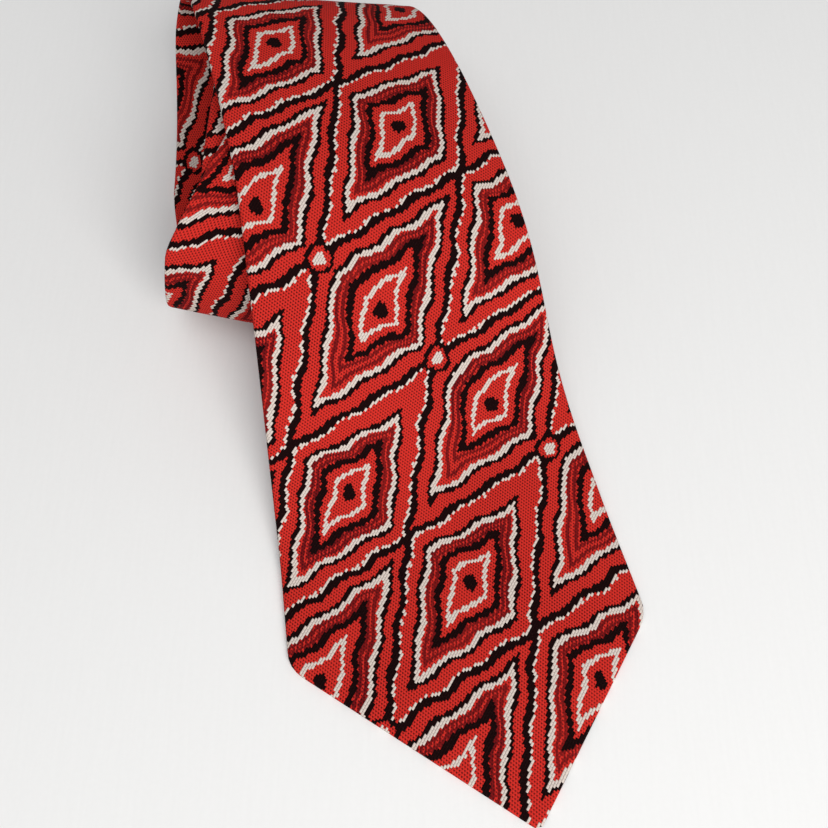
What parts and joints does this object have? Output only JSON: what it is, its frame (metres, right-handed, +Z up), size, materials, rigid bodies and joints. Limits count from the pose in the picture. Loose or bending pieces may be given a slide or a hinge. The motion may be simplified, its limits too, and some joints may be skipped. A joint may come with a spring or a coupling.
{
  "type": "necktie",
  "caption": "Wide lined necktie with a pointed blade, loosely rolled with the blade laid over the roll; woven diamond cloth, sewn back and keeper loop.",
  "frame": {"origin": "middle of the underside of the box around the whole tie as it lies", "axes": "+X along the axis of the roll, +Y from the blade's tip towards the roll, +Z up"},
  "size_m": [0.153, 0.2564, 0.0595],
  "materials": {
    "shell_cloth": "red twill with a woven wavy diamond pattern in black, white and maroon",
    "interlining": "brushed off-white wool and polyester felt",
    "tipping": "plain dark red satin lining",
    "thread": "red sewing thread",
    "label": "blank black woven satin"
  },
  "bodies": {
    "roll": {"blade_cloth_rolled": "shell_cloth", "neck_cloth": "shell_cloth", "tail_cloth": "shell_cloth", "keeper_loop": "shell_cloth", "blade_interlining_rolled": "interlining", "tail_interlining": "interlining", "tail_tipping": "tipping", "slip_stitch_rolled": "thread", "tail_bar_tack": "thread", "interlining_join": "thread", "blade_neck_seam": "thread", "neck_tail_seam": "thread", "keeper_stitches": "thread", "label_stitches": "thread", "blank_label": "label"},
    "blade_drape": {"blade_cloth_drape": "shell_cloth", "blade_interlining_drape": "interlining", "blade_tipping_drape": "tipping", "blade_bar_tack": "thread", "slip_stitch_drape": "thread"},
    "blade_tip": {"blade_cloth_tip": "shell_cloth", "blade_interlining_tip": "interlining", "blade_tipping": "tipping", "blade_tipping_seam": "thread"}
  },
  "joints": [
    {"name": "blade_lift", "type": "hinge", "parent": "roll", "child": "blade_drape", "pos_m": [-0.00616, 0.06705, 0.04987], "axis": [-0.9684, -0.0775, 0.2372], "range_deg": [0, 100]},
    {"name": "tip_fold", "type": "hinge", "parent": "blade_drape", "child": "blade_tip", "pos_m": [0.02754, -0.06623, 0.0018], "axis": [-1, 0, 0], "range_deg": [0, 110]}
  ]
}
